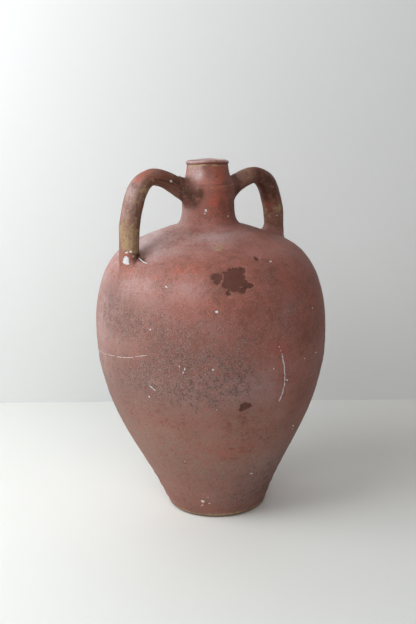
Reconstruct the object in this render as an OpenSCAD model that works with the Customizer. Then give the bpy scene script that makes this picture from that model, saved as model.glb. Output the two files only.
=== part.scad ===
// Two-handled water amphora of red earthenware.
// It is thrown in sections, and the sections and the pulled handles are luted together with soft clay.
// Millimetres. The origin is the centre of the underside, +Z is up, and the two handles lie along X.

/* [Body] */
// Largest radius of the belly
belly_r = 162; // [150:1:174]
// Height of the flat seat that the neck stands on
seat_z = 411; // [395:1:425]
// Thickness of the thrown wall
wall = 8.5; // [7:0.5:10]
// Thickness of the clay disc that closes the foot
disc_t = 8; // [6:0.5:12]
// Where the two thrown halves meet, counted in outline stations
seam_at = 5.6; // [5:0.1:6.5]

/* [Neck and mouth] */
// Outer radius of the neck
neck_r = 37; // [35:0.5:39]
// Inner radius of the neck at its seat
neck_bore_r = 29; // [27:0.5:31]
// Height from the seat to the ridge under the collar
neck_h = 57; // [50:1:64]
// Height of the tapered collar
collar_h = 23; // [20:1:28]
// Height of the lip
lip_h = 9; // [7:0.5:12]
// Outer radius of the mouth
mouth_r = 29; // [27:0.5:31]
// Inner radius of the mouth
mouth_bore_r = 22.5; // [20:0.5:24]

/* [Handles] */
// Half-thickness of a handle through its bend
grip_r = 12.8; // [11:0.2:14]
// Half-thickness of a handle where its leg meets the shoulder
foot_r = 14.6; // [14:0.2:16]
// Radius of the bend, to the middle of the handle
bend_r = 44; // [40:1:48]
// Distance of the top of the left leg from the jar's axis
left_leg_x = 121; // [118:0.5:123]
// Distance of the top of the right leg from the jar's axis
right_leg_x = 114.5; // [112:0.5:120]
// Inward lean of a leg, in degrees
leg_tilt = 8; // [4:1:10]
// Turn of the bend, in degrees
bend_turn = 110; // [106:1:114]
// Height of the top of the left leg
left_leg_z = 446; // [438:1:450]
// Height of the top of the right leg
right_leg_z = 435; // [430:1:450]
// Turn of the right handle about the jar's axis, out of line with the left one, in degrees
right_turn = 4; // [0:1:6]

/* [Look] */
// Red slip on the thrown walls
slip_color = [0.60, 0.36, 0.30];
// Handles, browner than the body
handle_color = [0.55, 0.36, 0.28];
// Luting clay smeared around the joints
luting_color = [0.50, 0.33, 0.26];
// Worn clay of the foot
foot_color = [0.52, 0.37, 0.31];

/* [Hidden] */
$fn = 96;

// Outline stations of the body, radius and height, for a belly of 162 and a seat at 411
stations = [
  [73, 8], [86.5, 43], [105, 80], [125, 119], [141, 156], [152, 190], [160, 229],
  [162, 270], [158.5, 310], [148, 347], [126, 376], [95, 392], [62, 405], [38, 411]
];
last = len(stations) - 1;
steps = 4;

// Heights above the seat
ridge_z = seat_z + neck_h;
collar_top_z = ridge_z + collar_h;
top_z = collar_top_z + lip_h;

// A station in true size, with the line carried on past both ends
function station(i) =
  i < 0 ? 2 * station(0) - station(1) :
  i > last ? 2 * station(last) - station(last - 1) :
  [stations[i][0] * belly_r / 162, disc_t + (stations[i][1] - 8) * (seat_z - disc_t) / 403];

// A smooth curve through the stations, and its slope
function curve(a, b, c, d, t) =
  0.5 * (2 * b + (c - a) * t + (2 * a - 5 * b + 4 * c - d) * t * t + (3 * b - a - 3 * c + d) * t * t * t);
function slope(a, b, c, d, t) =
  0.5 * ((c - a) + 2 * (2 * a - 5 * b + 4 * c - d) * t + 3 * (3 * b - a - 3 * c + d) * t * t);
function seg(u) = min(floor(u), last - 1);
function outer_at(u) =
  let (i = seg(u)) curve(station(i - 1), station(i), station(i + 1), station(i + 2), u - i);
function slope_at(u) =
  let (i = seg(u)) slope(station(i - 1), station(i), station(i + 1), station(i + 2), u - i);

// A point at a depth under the outside, measured square to it
function under(u, depth) =
  let (s = slope_at(u), n = norm(s)) outer_at(u) + depth * [-s[1], s[0]] / n;

// The outside, and the inside the other way round, between two places on the outline
function outside(a, b) =
  let (n = ceil((b - a) * steps)) [for (i = [0:n]) outer_at(a + (b - a) * i / n)];
function inside(a, b) =
  let (n = ceil((b - a) * steps)) [for (i = [n:-1:0]) under(a + (b - a) * i / n, wall)];

// The outside of the neck and of the collar, from the seat to the lip
neck_line = [
  [neck_r, seat_z], [neck_r, seat_z + 14], [neck_r - 0.4, seat_z + 30],
  [neck_r, ridge_z - 11], [neck_r - 0.3, ridge_z]
];
collar_line = [
  [neck_r - 0.9, ridge_z + 1.5], [neck_r - 3.6, ridge_z + 6], [mouth_r + 1.6, ridge_z + 13],
  [mouth_r + 0.2, ridge_z + 19], [mouth_r - 0.2, collar_top_z]
];

// Turns an outline about the jar's axis
module turned(outline) {
  rotate_extrude() polygon(outline);
}

// Everything within the outside of the jar, to cut the handles' ends to the walls
module envelope() {
  rotate(70)
    turned(concat(
      [[0, disc_t]], outside(0, last), neck_line, collar_line, [[0, collar_top_z]]
    ));
}

// The straight leg of a handle, running down past the shoulder's surface
module leg(leg_x, leg_z) {
  translate([leg_x, 0, leg_z])
    rotate([0, 180 - leg_tilt, 0])
      translate([0, 0, 0.4])
        rotate(50)
          cylinder(h = leg_z - 338, r1 = grip_r, r2 = foot_r + 0.2);
}

// Places its children at the end of the bend, with +Z pointing on towards the neck
module at_bend_end(leg_x, leg_z) {
  end_a = leg_tilt + bend_turn;
  translate([
    leg_x + bend_r * (cos(end_a) - cos(leg_tilt)), 0,
    leg_z + bend_r * (sin(end_a) - sin(leg_tilt))
  ])
    rotate([0, -end_a, 0])
      children();
}

// The straight length that runs from the bend into the neck
module rise(leg_x, leg_z) {
  at_bend_end(leg_x, leg_z)
    translate([0, 0, 0.4])
      rotate(50)
        cylinder(h = 40, r1 = grip_r, r2 = grip_r + 0.6);
}

// A whole bar of one handle, before its ends are cut. A bead fills each joint of the bend.
module handle_bar(leg_x, leg_z) {
  leg(leg_x, leg_z);
  translate([leg_x, 0, leg_z])
    sphere(r = grip_r + 0.25);
  translate([leg_x - bend_r * cos(leg_tilt), 0, leg_z - bend_r * sin(leg_tilt)])
    rotate([90, 0, 0])
      rotate([0, 0, leg_tilt + 0.6])
        rotate_extrude(angle = bend_turn - 1.2)
          translate([bend_r, 0])
            circle(r = grip_r);
  at_bend_end(leg_x, leg_z)
    sphere(r = grip_r + 0.25);
  rise(leg_x, leg_z);
}

// One handle, its ends cut to the shoulder and the neck
module handle(leg_x, leg_z) {
  difference() {
    handle_bar(leg_x, leg_z);
    envelope();
  }
}

// The sleeve of clay smeared around the foot of a leg
module foot_luting(leg_x, leg_z) {
  difference() {
    translate([leg_x, 0, leg_z])
      rotate([0, 180 - leg_tilt, 0])
        translate([0, 0, leg_z - 390])
          rotate(35)
            cylinder(h = 64, r1 = foot_r + 2.8, r2 = foot_r + 1.4);
    leg(leg_x, leg_z);
    envelope();
  }
}

// The sleeve of clay smeared where a handle meets the neck
module top_luting(leg_x, leg_z) {
  difference() {
    at_bend_end(leg_x, leg_z)
      translate([0, 0, 6])
        rotate(35)
          cylinder(h = 28, r1 = grip_r + 1, r2 = grip_r + 4);
    rise(leg_x, leg_z);
    envelope();
  }
}

// The disc that closes the foot, and that the jar rests on
module base_disc() {
  r = station(0)[0];
  color(foot_color)
    turned([[0, 0], [r - 4, 0], [r - 2.2, 0.8], [r - 1.5, 2.5], [r, disc_t], [0, disc_t]]);
}

// The lower thrown half, from the foot to the belly seam
module lower_wall() {
  r = station(0)[0];
  color(slip_color)
    turned(concat(
      outside(0, seam_at), inside(0.3, seam_at + 0.15), [[r - wall - 1, disc_t]]
    ));
}

// The upper thrown half, from the belly seam to the seat of the neck
module upper_wall() {
  under_z = under(last, wall)[1];
  color(slip_color)
    turned(concat(
      outside(seam_at, last),
      [[neck_bore_r, seat_z], [neck_bore_r, under_z]],
      inside(seam_at + 0.15, last)
    ));
}

// The fillet of clay in the corner between the neck and the shoulder
module neck_luting() {
  color(slip_color)
    turned(concat(
      outside(last - 0.9, last),
      [
        [neck_r, seat_z], [neck_r, seat_z + 14], [neck_r + 1, seat_z + 8],
        [neck_r + 4, seat_z + 3.6], [neck_r + 11, seat_z + 0.2]
      ]
    ));
}

// The thrown neck, a plain tube up to the ridge
module neck() {
  color(slip_color)
    turned(concat(
      [[neck_bore_r, seat_z]], neck_line, [[neck_bore_r - 1.5, ridge_z]]
    ));
}

// The tapered collar between the ridge and the lip
module mouth_collar() {
  color(slip_color)
    turned(concat(
      [[neck_bore_r - 1.5, ridge_z], [neck_r - 0.3, ridge_z]], collar_line,
      [[mouth_bore_r, collar_top_z], [mouth_bore_r, ridge_z + 12]]
    ));
}

// The rounded lip
module lip_ring() {
  color(luting_color)
    turned([
      [mouth_bore_r, collar_top_z], [mouth_r - 0.2, collar_top_z],
      [mouth_r + 0.4, collar_top_z + 3], [mouth_r + 0.3, top_z - 2.6],
      [mouth_r - 0.8, top_z - 0.7], [mouth_r - 2.4, top_z],
      [mouth_bore_r + 2, top_z], [mouth_bore_r, top_z - 1.4]
    ]);
}

module handle_left() {
  color(handle_color)
    mirror([1, 0, 0])
      handle(left_leg_x, left_leg_z);
}

module handle_right() {
  color(handle_color)
    rotate(right_turn)
      handle(right_leg_x, right_leg_z);
}

module foot_luting_left() {
  color(luting_color)
    mirror([1, 0, 0])
      foot_luting(left_leg_x, left_leg_z);
}

module foot_luting_right() {
  color(luting_color)
    rotate(right_turn)
      foot_luting(right_leg_x, right_leg_z);
}

module neck_luting_left() {
  color(luting_color)
    mirror([1, 0, 0])
      top_luting(left_leg_x, left_leg_z);
}

module neck_luting_right() {
  color(luting_color)
    rotate(right_turn)
      top_luting(right_leg_x, right_leg_z);
}

base_disc();
lower_wall();
upper_wall();
neck_luting();
neck();
mouth_collar();
lip_ring();
handle_left();
handle_right();
foot_luting_left();
foot_luting_right();
neck_luting_left();
neck_luting_right();
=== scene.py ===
"""Two-handled water amphora of red earthenware, built piece by piece."""

import math
import random
from functools import partial

import bmesh
import bpy
import numpy as np
from mathutils import Matrix, Vector, noise


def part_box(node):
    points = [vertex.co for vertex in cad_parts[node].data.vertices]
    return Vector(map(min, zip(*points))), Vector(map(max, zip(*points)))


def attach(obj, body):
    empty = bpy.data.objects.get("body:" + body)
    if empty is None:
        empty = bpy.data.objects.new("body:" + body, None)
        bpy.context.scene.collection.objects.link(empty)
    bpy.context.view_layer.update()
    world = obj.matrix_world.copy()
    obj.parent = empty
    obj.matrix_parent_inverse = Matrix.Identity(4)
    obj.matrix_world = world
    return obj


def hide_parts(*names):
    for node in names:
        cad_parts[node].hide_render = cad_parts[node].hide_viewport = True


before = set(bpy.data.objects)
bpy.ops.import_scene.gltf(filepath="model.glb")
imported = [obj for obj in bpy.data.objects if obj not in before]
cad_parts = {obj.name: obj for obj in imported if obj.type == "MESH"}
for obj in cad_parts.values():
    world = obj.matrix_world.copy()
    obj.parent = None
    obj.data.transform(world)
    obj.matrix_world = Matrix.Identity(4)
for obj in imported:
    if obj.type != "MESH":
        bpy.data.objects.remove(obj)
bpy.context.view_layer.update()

bl_info = {
    "name": "Earthenware Amphora",
    "version": (1, 0, 0),
    "blender": (4, 5, 0),
    "location": "View3D > Sidebar > Amphora",
    "description": "Builds a two-handled water jar of red earthenware, with its stage",
    "category": "Add Mesh",
}

MM = 0.001


# ---------------------------------------------------------------- sizes and colours


def colour(name, text, value):
    """A colour that the panel shows, given as six sRGB digits."""
    return bpy.props.FloatVectorProperty(
        name=name, description=text, subtype="COLOR_GAMMA", size=3, min=0.0, max=1.0,
        default=[int(value[i:i + 2], 16) / 255 for i in (0, 2, 4)],
    )


def length(name, text, value, low=0.0, high=10.0):
    """A length in metres that the panel shows."""
    return bpy.props.FloatProperty(
        name=name, description=text, default=value, min=low, max=high, subtype="DISTANCE",
        unit="LENGTH",
    )


def angle_of(name, text, degrees):
    """An angle that the panel shows, given in degrees."""
    return bpy.props.FloatProperty(
        name=name, description=text, default=math.radians(degrees), subtype="ANGLE",
        unit="ROTATION",
    )


class AmphoraSizes(bpy.types.PropertyGroup):
    """How the clay was worked"""

    wall: length("Wall", "Thickness of the thrown wall", 0.0085, 0.004, 0.02)
    lean: length("Lean", "How far the mouth stands off the foot's axis", 0.0063, 0.0, 0.02)
    ring_depth: length("Throwing rings", "Depth of the rings the fingers left", 0.00014, 0.0, 0.002)
    lump: length("Lumps", "Height of the slow unevenness of the wall", 0.0011, 0.0, 0.005)
    flake_depth: length("Flake depth", "How deep the lost flakes of slip are", 0.0010, 0.0, 0.003)
    smear: length(
        "Smear", "How far the luting clay is drawn out round a handle's end", 0.012, 0.004, 0.03
    )
    round_steps: bpy.props.IntProperty(
        name="Steps", description="Facets round the body", default=448, min=64, max=640
    )


class AmphoraColours(bpy.types.PropertyGroup):
    """Colours of the clay, of what has settled on it, and of the painted sheen and painted shade"""

    slip: colour("Slip", "Brick-red slip of the body", "9C5C50")
    slip_dark: colour("Dark slip", "Where the slip fired darker", "7A493C")
    fresh: colour("Fresh slip", "Orange-red slip that has kept its colour", "AA523E")
    # The bloom colour also paints sheen where the window light falls: the left limb, the collar's
    # left side and the left handle's bend
    bloom_and_sheen: colour("Bloom", "Pinkish lime haze on the upper body", "B59D9B")
    grime: colour("Grime", "Grey-brown dirt in the pores", "6E625E")
    tan: colour("Tan", "Thin worn slip of the lower body", "89695A")
    bare: colour("Bare clay", "Clay laid bare by a flake", "5F352B")
    lime: colour("Lime", "Drops of limewash", "D2D6D8")
    ochre: colour("Ochre", "Yellow earth caked on the handles", "A48A66")
    # The soot colour also paints shade: in the torn hollows, between the left handle's foot and the
    # shoulder, under the right handle's bend, in the pull grooves, on the handles' inner sides and
    # under the lip's roll
    soot_and_shade: colour("Soot", "Brown-black soot round the handles", "4C2F22")
    handle: colour("Handle clay", "Red-brown clay of the handles", "8B6350")
    floor: colour("Floor", "Painted floor", "E9E7E3")
    wall: colour("Backdrop", "Painted wall behind", "D9D8D7")


class AmphoraStage(bpy.types.PropertyGroup):
    """Camera and light"""

    view_turn: angle_of(
        "View turn", "Turn of the camera round the jar, from square on to its handles", -32.0
    )
    view_tilt: angle_of("View tilt", "How far the camera looks down", 14.65)
    view_roll: angle_of("View roll", "Roll of the camera about its own axis", -1.0)
    distance: length(
        "Distance", "From the jar's axis to the camera, along the floor", 1.597, 0.5, 5.0
    )
    height: length("Height", "Of the camera over the floor", 0.7026, 0.0, 3.0)
    lens: bpy.props.FloatProperty(
        name="Lens", description="Focal length in millimetres", default=67.0, min=20.0, max=200.0
    )
    key_power: bpy.props.FloatProperty(
        name="Window light", description="Power of the soft light at the left", default=14.1,
        min=0.0, subtype="POWER", unit="POWER",
    )
    sky: bpy.props.FloatProperty(
        name="Room light", description="Strength of the even light of the room", default=0.13,
        min=0.0,
    )


def sizes():
    """The sizes that the panel holds."""
    return bpy.context.scene.amphora_sizes


def colours():
    """The colours that the panel holds."""
    return bpy.context.scene.amphora_colours


# ---------------------------------------------------------------- the jar's shape, in millimetres

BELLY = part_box("upper_wall")[1][0] / MM
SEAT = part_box("upper_wall")[1][2] / MM
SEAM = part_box("upper_wall")[0][2] / MM
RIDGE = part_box("neck")[1][2] / MM
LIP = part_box("lip_ring")[0][2] / MM
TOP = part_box("lip_ring")[1][2] / MM
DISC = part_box("base_disc")[1][2] / MM
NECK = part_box("neck")[1][0] / MM
# Inner radii of the neck, the mouth and the fillet
NECK_BORE, MOUTH_BORE, FILLET_BORE = NECK - 8.0, 22.5, 34.0
# Heights of the shoulder's edge, the neck's root and the fillet's top
SHOULDER_EDGE, NECK_ROOT, FILLET_TOP = 404.0, 409.0, 426.0
NECK_STEPS = 256  # facets round the neck and the mouth
NO_FLAKE = -30.0  # so far from any flake that none begins

# The jar's axis drifts off this way, most of it within this height
LEAN_WAY = (-0.848, 0.530)
LEAN_RISE = 140.0

# Outline from the foot up, radius and height, and its own widest radius
DRAWN_BELLY = 162.0
FOOT_LINE = [(62.0, 0.0), (66.0, 0.8), (69.2, 3.0)]
BODY_LINE = [
    (72, 8), (86.5, 43), (105, 80), (125, 119), (141, 156), (152, 190), (160, 229),
    (162, 270), (158.5, 310), (148, 347), (126, 376), (95, 392), (62, 405),
]
FILLET_LINE = [(51, 408.6), (44.5, 412), (40.2, 417), (37.8, 424)]
NECK_LINE = [(36.6, 436), (36.7, 452), (36.9, 463), (36.0, 468.5)]
COLLAR_LINE = [(33.6, 473.5), (31.2, 479), (29.7, 485), (29.0, 490.5)]
LIP_LINE = [
    (28.8, 493.4), (28.3, 494.8), (29.3, 496.0), (30.0, 497.6), (29.4, 499.2), (27.9, 500.0),
]


def curve_through(points, per=8):
    """A smooth line through the points, as many steps between each pair."""
    pts = [np.array(p, float) for p in points]
    pts = [2 * pts[0] - pts[1]] + pts + [2 * pts[-1] - pts[-2]]
    line = []
    for a, b, c, d in zip(pts, pts[1:], pts[2:], pts[3:]):
        for t in np.arange(per) / per:
            line.append(0.5 * (2 * b + (c - a) * t + (2 * a - 5 * b + 4 * c - d) * t ** 2
                               + (3 * b - a - 3 * c + d) * t ** 3))
    return np.array(line + [pts[-2]])


OUTSIDE = curve_through(
    FOOT_LINE + BODY_LINE + FILLET_LINE + NECK_LINE + COLLAR_LINE + LIP_LINE, 24
)
OUTSIDE[:, 0] *= np.where(OUTSIDE[:, 1] < SEAT - 4, BELLY / DRAWN_BELLY, 1.0)


def radius_at(z):
    """Outer radius of the jar at a height."""
    return np.interp(z, OUTSIDE[:, 1], OUTSIDE[:, 0])


def slope_at(z):
    """How fast the outer radius grows with height."""
    return (radius_at(z + 1.0) - radius_at(z - 1.0)) / 2.0


def lean_at(z):
    """Sideways offset of the jar's axis at a height: it drifts off early and then stays."""
    reach = sizes().lean / MM * (1.0 - np.exp(-np.asarray(z, float) / LEAN_RISE))
    return np.stack([LEAN_WAY[0] * reach, LEAN_WAY[1] * reach], -1)


def lumps_at(az, z):
    """Slow unevenness of the thrown wall, in units of the lump size."""
    a = np.radians(az)
    return (
        0.42 * np.sin(2 * a + 0.011 * z + 0.7) + 0.24 * np.sin(3 * a - 0.019 * z + 2.1)
        + 0.20 * np.sin(5 * a + 0.027 * z + 4.0) + 0.15 * np.sin(7 * a - 0.043 * z + 1.2)
        + 0.12 * np.sin(a * 4 + 0.075 * z) + 0.10 * np.sin(a * 9 + 0.061 * z + 3.3)
    )


def rings_at(az, z):
    """Rings left by the fingers, in units of the ring depth: they wander as they go round, and are
    deepest near the foot and on the neck."""
    a = np.radians(az)
    wander = 0.9 * np.sin(0.023 * z + a) + 0.5 * np.sin(0.051 * z + 2 * a)
    strength = 0.55 + 0.45 * np.sin(0.031 * z + 1.0) + 0.9 * np.exp(-((z - 30.0) / 45.0) ** 2)
    strength = strength + 1.1 * np.exp(-((z - 440.0) / 30.0) ** 2)
    return strength * (np.sin(z / 2.55 + wander) + 0.45 * np.sin(z / 1.31 + 2.0 * wander))


def seam_at(az, z):
    """The belly seam, a shallow groove with a low bulge over it, in millimetres."""
    middle = SEAM + 2.0 * np.sin(np.radians(az) + 0.6)
    groove = -0.30 * np.exp(-((z - middle) / 1.9) ** 2)
    return groove + 0.35 * np.exp(-((z - middle - 9.0) / 8.0) ** 2)


def patch(az, z, spots):
    """How far inside the nearest of some oval spots a place is, in millimetres, negative outside.
    A spot is its turn, its height, its half-width in degrees and its half-height."""
    best = np.full(np.shape(az), NO_FLAKE)
    for turn, height, half_turn, half_height in spots:
        wide = half_turn * float(radius_at(height)) * math.pi / 180
        dx = (az - turn) * float(radius_at(height)) * math.pi / 180
        d = np.sqrt((dx / wide) ** 2 + ((z - height) / half_height) ** 2)
        best = np.maximum(best, (1.0 - d) * min(wide, half_height))
    return best


def glow(az, z, spots):
    """Sum of soft round spots: turn, height, spread in degrees, spread in height, strength."""
    total = np.zeros(np.shape(az))
    for turn, height, da, dz, strength in spots:
        gap = (az - turn + 180.0) % 360.0 - 180.0
        total += strength * np.exp(-(gap / da) ** 2 - ((z - height) / dz) ** 2)
    return total


# Flakes of lost slip, as oval spots
FLAKES = [
    (-109.2, 364, 5.6, 10.0), (-107.8, 372, 5.0, 4.2), (-103.6, 372.5, 2.8, 3.8),
    (-113.0, 370.6, 2.6, 3.0), (-115.6, 369.8, 1.8, 2.2), (-104.8, 364, 3.0, 5.0),
    (-103.2, 359.6, 1.9, 4.4), (-112.6, 357.6, 3.4, 5.2), (-109.3, 352.4, 4.0, 4.4),
    (-105.6, 349.2, 2.4, 3.6), (-112.8, 348.2, 1.2, 3.6), (-108.4, 357.0, 4.4, 5.0),
    (-118.4, 366.8, 3.2, 4.2), (-116.4, 366.6, 2.0, 3.8), (-118.0, 361.6, 1.9, 4.2),
    (-101.0, 354.4, 2.1, 2.9), (-103.0, 353.9, 1.2, 1.5), (-105.6, 194.4, 2.5, 5.0),
    (-104.6, 191.6, 2.2, 3.4), (-106.9, 189.2, 1.9, 3.4), (-89.6, 381.8, 1.9, 1.9),
    (40.0, 150, 3.0, 7.0), (43.0, 146, 2.0, 4.0), (88.0, 330, 2.4, 5.0),
]
# Hollows torn beside a handle's end: turn, height, spread in degrees and in height, and depth
TEARS = [(-171.5, 381.0, 2.0, 1.8, 2.2), (-168.5, 379.4, 1.6, 1.0, 1.2)]
# Chips out of the foot's edge, as oval spots
CHIPS = [(-150.0, 0, 2.6, 2.6), (-95.0, 0, 2.0, 2.0), (20.0, 0, 3.4, 3.0), (100.0, 0, 2.2, 2.4)]


def skin_lift(az, z):
    """How far the finished outside stands off the turned outline in millimetres, but for flakes."""
    s = sizes()
    fade = np.clip((z - 1.0) / 6.0, 0, 1) * np.clip((TOP - 6 - z) / 10.0, 0, 1)
    lift = s.lump / MM * lumps_at(az, z) + s.ring_depth / MM * rings_at(az, z) + seam_at(az, z)
    quiet = 0.30 + 0.70 * np.clip((SEAT - 12 - z) / 30.0, 0, 1)
    ridge = 0.55 * np.exp(-((z - RIDGE + 1.5) / 1.6) ** 2)
    ridge = ridge - 0.75 * np.exp(-((z - RIDGE - 2.2) / 1.1) ** 2)
    return lift * fade * quiet + ridge


def skin(az, z, lift=0.0):
    """Points of the finished outside at turns in degrees and heights in millimetres."""
    az = np.asarray(az, float)
    z = np.asarray(z, float)
    slope = slope_at(z)
    size = np.sqrt(1 + slope ** 2)
    out = lift + skin_lift(az, z)
    r = radius_at(z) + out / size
    a = np.radians(az)
    lean = lean_at(z)
    x, y = r * np.cos(a) + lean[..., 0], r * np.sin(a) + lean[..., 1]
    return np.stack([x, y, z - out * slope / size], -1)


def from_skin(p):
    """Signed distance of points from the finished outside, and the outward directions there."""
    lean = lean_at(p[..., 2])
    x = p[..., 0] - lean[..., 0]
    y = p[..., 1] - lean[..., 1]
    rho = np.hypot(x, y)
    az = np.degrees(np.arctan2(y, x))
    slope = slope_at(p[..., 2])
    size = np.sqrt(1 + slope ** 2)
    away = np.stack([x / rho, y / rho, -slope], -1) / size[..., None]
    return (rho - radius_at(p[..., 2])) / size - skin_lift(az, p[..., 2]), away


# ---------------------------------------------------------------- mesh helpers

SHARP = 42.0  # degrees between two faces, over which their edge stays crisp
TABLE_END = 150.0  # turn at the back of the jar, where the stains' tables end
OUTER_BAND = 2.6  # points this near the outline belong to the outside
MOUTH_TIP = -122.0  # turn at which the mouth stands highest


def coordinates(bm):
    """Where the points of a bmesh are, in millimetres."""
    return np.array([v.co[:] for v in bm.verts]) / MM


def put(bm, points):
    """Moves the points of a bmesh to places in millimetres."""
    for v, p in zip(bm.verts, points * MM):
        v.co = p


def write_fields(mesh, fields):
    """Stores named numbers on the points, for the materials to read."""
    for name, values in fields.items():
        layer = mesh.attributes.new(name, "FLOAT", "POINT")
        layer.data.foreach_set("value", np.asarray(values, dtype=np.float32))


def crumble(points, grain, soft=1.0, finer=2.0):
    """Three sizes of unevenness at places in millimetres, both ways about zero."""
    return np.array([noise.fractal(Vector(p) * grain, soft, finer, 3) for p in points])


def turns_of(x, y):
    """Turns round the jar in degrees, in the range that the stains' tables use."""
    az = np.degrees(np.arctan2(y, x))
    return np.where(az > TABLE_END, az - 360.0, az)


def finish_piece(bm, name, material, nodes=(), fields=None):
    """Turns a bmesh into a piece that rides on the jar and stands for its CAD nodes."""
    for e in bm.edges:
        if len(e.link_faces) == 2 and e.tag:
            e.smooth = False
    for f in bm.faces:
        f.smooth = True
    mesh = bpy.data.meshes.new(name)
    bm.to_mesh(mesh)
    bm.free()
    if fields:
        write_fields(mesh, fields)
    piece = bpy.data.objects.new(name, mesh)
    bpy.context.scene.collection.objects.link(piece)
    mesh.materials.append(material)
    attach(piece, "root")
    if nodes:
        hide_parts(*nodes)
    return piece


def turned(outline, on_axis=False, steps=None):
    """Spins a closed outline of (radius, height) round the jar's axis, and tags the sharp edges."""
    bm = bmesh.new()
    verts = [bm.verts.new((r * MM, 0.0, z * MM)) for r, z in outline]
    pairs = list(zip(verts, verts[1:]))
    if not on_axis:
        pairs.append((verts[-1], verts[0]))
    edges = [bm.edges.new(pair) for pair in pairs]
    bmesh.ops.spin(
        bm, geom=verts + edges, axis=(0, 0, 1), cent=(0, 0, 0), angle=math.tau,
        steps=steps or sizes().round_steps, use_merge=True,
    )
    bmesh.ops.remove_doubles(bm, verts=bm.verts, dist=0.00001)
    bmesh.ops.recalc_face_normals(bm, faces=bm.faces)
    for e in bm.edges:
        e.tag = len(e.link_faces) == 2 and e.calc_face_angle(0.0) > math.radians(SHARP)
    return bm


# What has settled on the body or worn off it, as soft spots, with painted sheen among the haze
# spots and painted shade among the soot spots
BODY_STAINS = {
    "fresh": [
        (-135, 374, 8, 5, 0.85), (-118, 335, 10, 16, 0.25), (-87.5, 268, 3.5, 9, 0.8),
        (-104, 452, 24, 16, 1.0), (-118, 122, 14, 14, 0.5), (-92, 480, 18, 10, 0.9),
        (-140, 372, 5, 4, 0.4), (-62, 398, 25, 9, 0.35), (-60, 330, 25, 60, 0.25),
        (-92, 120, 30, 26, 0.2), (30, 250, 40, 80, 0.35), (110, 360, 30, 30, 0.5),
        (100, 455, 30, 14, 0.7), (-176, 366, 6, 7, 0.6), (-195, 365, 12, 14, 0.4),
        (-132, 22, 10, 12, 0.4), (-112, 300, 14, 14, 0.25), (-92, 381, 6, 3, 0.5),
    ],
    "grime": [
        (-134, 250, 18, 45, 1.0), (-165, 300, 18, 26, 0.85), (-160, 225, 30, 35, 0.8),
        (-182, 318, 14, 30, 0.7), (-112, 240, 12, 30, 0.75), (-118, 225, 22, 40, 0.45),
        (-60, 235, 18, 40, 0.25), (-104, 290, 8, 14, 0.4), (-100, 60, 60, 40, 0.35),
        (20, 120, 50, 60, 0.6), (90, 240, 40, 50, 0.6), (150, 180, 30, 60, 0.7),
        (-88, 362, 5, 20, 0.35), (-70, 60, 30, 50, 0.8), (-122, 305, 12, 16, 0.45),
        (-150, 330, 10, 12, 0.3), (-148, 308, 10, 14, 0.4), (-100, 32, 26, 14, 0.5),
    ],
    # Lime haze; the spots on the left limb (turns -163 to -200) and on the collar's left side at
    # 486 mm are partly haze and partly painted sheen of the lit side
    "bloom_and_sheen": [
        (-150, 402, 60, 12, 0.5), (-95, 405, 35, 7, 0.35), (-200, 350, 18, 60, 0.5),
        (-165, 348, 16, 22, 0.45), (-190, 260, 16, 60, 0.3), (-195, 430, 28, 30, 0.45),
        (-150, 486, 14, 8, 0.9), (-168, 486, 18, 10, 1.5), (-135, 352, 18, 14, 0.25),
        (-142, 487, 10, 8, 0.5), (-178, 305, 14, 45, 0.5), (-163, 384, 9, 8, 0.4),
        (-148, 217, 14, 24, 0.25), (60, 395, 70, 16, 0.5), (150, 390, 50, 20, 0.6),
        (-104, 215, 16, 26, 0.35), (-82, 310, 12, 24, 0.45),
    ],
    "tan": [
        (-130, 110, 50, 60, 0.8), (-190, 120, 40, 90, 0.8), (-80, 110, 40, 60, 0.6),
        (60, 100, 80, 70, 0.7), (-120, 20, 80, 25, 0.4), (-150, 215, 26, 30, 0.7),
        (-100, 190, 18, 30, 0.5), (-175, 250, 20, 50, 0.4),
    ],
    # Soot; the two small spots at the torn hollows beside the left handle's foot (-171.3 and
    # -167.5) are painted shade in those hollows
    "soot_and_shade": [
        (-152, 456, 20, 12, 0.9), (-137, 461, 9, 9, 0.7), (-178, 460, 14, 12, 1.0),
        (-152, 444, 14, 8, 0.6), (0, 455, 22, 14, 0.8), (-178, 443, 14, 8, 0.5),
        (-131, 491, 8, 4, 0.6), (-121, 484, 9, 6, 0.45), (-171.3, 381.0, 2.4, 2.0, 3.0),
        (-167.5, 379.4, 2.2, 0.9, 1.6), (-174, 385, 5, 3, 0.45), (-168, 386, 10, 6, 0.10),
        (-152.6, 379, 2.0, 1.2, 0.6), (-60, 440, 16, 14, 0.15), (-60, 30, 26, 40, 0.40),
        (-72, 150, 18, 50, 0.12), (-120, 10, 60, 16, 0.18), (-66, 170, 16, 40, 0.15),
        (-97, 471, 40, 1.2, 0.4),
    ],
    "ochre": [
        (-113.5, 394.7, 3.4, 2.2, 1.3), (-95, 262, 5, 5, 0.3), (-68, 262, 14, 4, 0.3),
        (-118, 102, 4, 8, 0.25), (-97, 182, 8, 5, 0.15), (-118.5, 365, 2.4, 5, 0.5),
        (-106, 353, 5, 3, 0.35), (-104, 374, 2, 3, 0.4),
    ],
    "lime": [
        (-150, 489, 12, 3, 0.12), (-164, 486, 5, 3, 0.40), (-90.6, 71.5, 2.5, 1.6, 0.35),
        (-145.2, 354, 1.9, 1.6, 0.5), (-92, 73.6, 1.6, 1.6, 0.3), (-131.3, 57, 1.6, 1.4, 0.3),
        (-126, 434, 2, 3, 0.25), (-148, 384, 8, 3, 0.12),
    ],
}


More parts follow.
